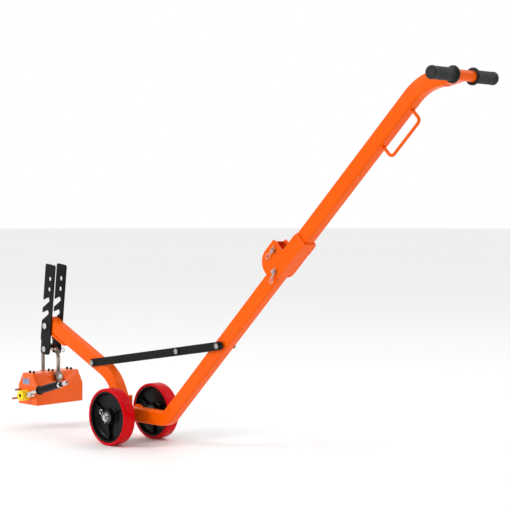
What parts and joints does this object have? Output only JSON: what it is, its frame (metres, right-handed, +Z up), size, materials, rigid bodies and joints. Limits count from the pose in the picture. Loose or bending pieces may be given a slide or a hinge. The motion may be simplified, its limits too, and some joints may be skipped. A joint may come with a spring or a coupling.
{
  "type": "magnetic lifting dolly",
  "caption": "Folding two-wheeled lever dolly that lifts iron covers with a switchable permanent magnet hung from its short arm.",
  "frame": {"origin": "on the ground under the middle of the whole object, half way between the magnet's far corner and the grips, in the plane of the frame", "axes": "+X from the magnet to the T-handle, -Y the side with the magnet's lever, +Z up"},
  "size_m": [2.0022, 0.296, 1.2325],
  "materials": {
    "orange_paint": "gloss powder coat",
    "black_paint": "satin powder coat",
    "zinc_steel": "bright zinc plate",
    "bright_steel": "bright drawn steel",
    "chrome": "polished chrome plate",
    "bare_steel": "ground steel",
    "black_oxide": "black oxide",
    "pin_metal": "turned brass",
    "black_rubber": "moulded rubber",
    "black_plastic": "moulded nylon",
    "red_polyurethane": "cast polyurethane, satin",
    "yellow_plastic": "moulded, gloss",
    "grey_label": "anodised plate, blank"
  },
  "bodies": {
    "frame": {"lower_tube": "orange_paint", "axle_hub": "orange_paint", "hinge_lug": "orange_paint", "axle": "bright_steel", "axle_spacers": "zinc_steel", "axle_washers": "zinc_steel", "axle_clips": "bright_steel", "brace_anchor_bolt": "zinc_steel", "hinge_pin": "bright_steel", "hinge_pin_clip": "bright_steel"},
    "arm": {"arm_tube": "orange_paint", "arm_nose": "orange_paint", "arm_bush": "zinc_steel", "arm_yoke": "orange_paint", "arm_bumper": "black_rubber", "bumper_screw": "bright_steel", "brace_arm_bolts": "zinc_steel"},
    "long_link": {"brace_long_near": "black_paint", "brace_long_far": "black_paint", "brace_spacer": "zinc_steel"},
    "short_link": {"brace_short_near": "black_paint", "brace_short_far": "black_paint", "brace_mid_bolts": "zinc_steel"},
    "handle": {"upper_tube": "orange_paint", "hinge_bracket": "orange_paint", "t_bar": "orange_paint", "grip_near": "black_rubber", "grip_far": "black_rubber", "carry_handle": "orange_paint", "lock_pin": "bright_steel", "lock_pin_clip": "bright_steel"},
    "hooks": {"hook_plate_near": "black_paint", "hook_plate_far": "black_paint", "arm_pivot_bolt": "chrome", "hanger_pin": "bright_steel", "hanger_clip": "bright_steel"},
    "shackle": {"shackle": "zinc_steel"},
    "magnet": {"magnet_housing": "orange_paint", "end_cover_near": "orange_paint", "end_cover_far": "orange_paint", "pole_shoes": "bare_steel", "top_screws": "black_oxide", "label_plate": "grey_label", "label_screws": "bright_steel", "limit_pins": "pin_metal", "rest_pin": "chrome", "shackle_bolts": "chrome"},
    "lever": {"lever_hub": "yellow_plastic", "lever_rod": "chrome", "lever_grip": "black_plastic", "lever_knob": "chrome", "rotor": "bare_steel"},
    "near_wheel": {"wheel_near_tread": "red_polyurethane", "wheel_near_core": "black_plastic", "wheel_near_bearings": "zinc_steel"},
    "far_wheel": {"wheel_far_tread": "red_polyurethane", "wheel_far_core": "black_plastic", "wheel_far_bearings": "zinc_steel"}
  },
  "joints": [
    {"name": "handle_fold", "type": "hinge", "parent": "frame", "child": "handle", "pos_m": [0.26656, 0, 0.69757], "axis": [0, -1, 0], "range_deg": [0, 169]},
    {"name": "arm_fold", "type": "hinge", "parent": "frame", "child": "arm", "pos_m": [-0.4564, 0, 0.1], "axis": [0, -1, 0], "range_deg": [-85, 0]},
    {"name": "brace_long_fold", "type": "hinge", "parent": "arm", "child": "long_link", "pos_m": [-0.6584, 0, 0.2669], "axis": [0, -1, 0], "range_deg": [0, 107]},
    {"name": "brace_short_fold", "type": "hinge", "parent": "frame", "child": "short_link", "pos_m": [0.00638, 0, 0.37609], "axis": [0, -1, 0], "range_deg": [-126.5, 0]},
    {"name": "hook_swing", "type": "hinge", "parent": "arm", "child": "hooks", "pos_m": [-0.93239, 0, 0.38397], "axis": [0, 1, 0], "range_deg": [-25, 25]},
    {"name": "shackle_swing", "type": "hinge", "parent": "hooks", "child": "shackle", "pos_m": [-0.94308, 0, 0.29561], "axis": [0, 1, 0], "range_deg": [-15, 15]},
    {"name": "magnet_tilt", "type": "hinge", "parent": "shackle", "child": "magnet", "pos_m": [-0.94308, 0, 0.195], "axis": [1, 0, 0], "range_deg": [-15, 15]},
    {"name": "lever_turn", "type": "hinge", "parent": "magnet", "child": "lever", "pos_m": [-0.94308, 0, 0.13], "axis": [0, -1, 0], "range_deg": [0, 128]},
    {"name": "near_wheel_spin", "type": "hinge", "parent": "frame", "child": "near_wheel", "pos_m": [-0.4564, -0.102, 0.1], "axis": [0, 1, 0], "continuous": true},
    {"name": "far_wheel_spin", "type": "hinge", "parent": "frame", "child": "far_wheel", "pos_m": [-0.4564, 0.102, 0.1], "axis": [0, 1, 0], "continuous": true}
  ],
  "couplings": [
    {"joint": "brace_long_fold", "follows": "arm_fold", "ratio": -1.253},
    {"joint": "brace_short_fold", "follows": "arm_fold", "ratio": 1.4808}
  ]
}
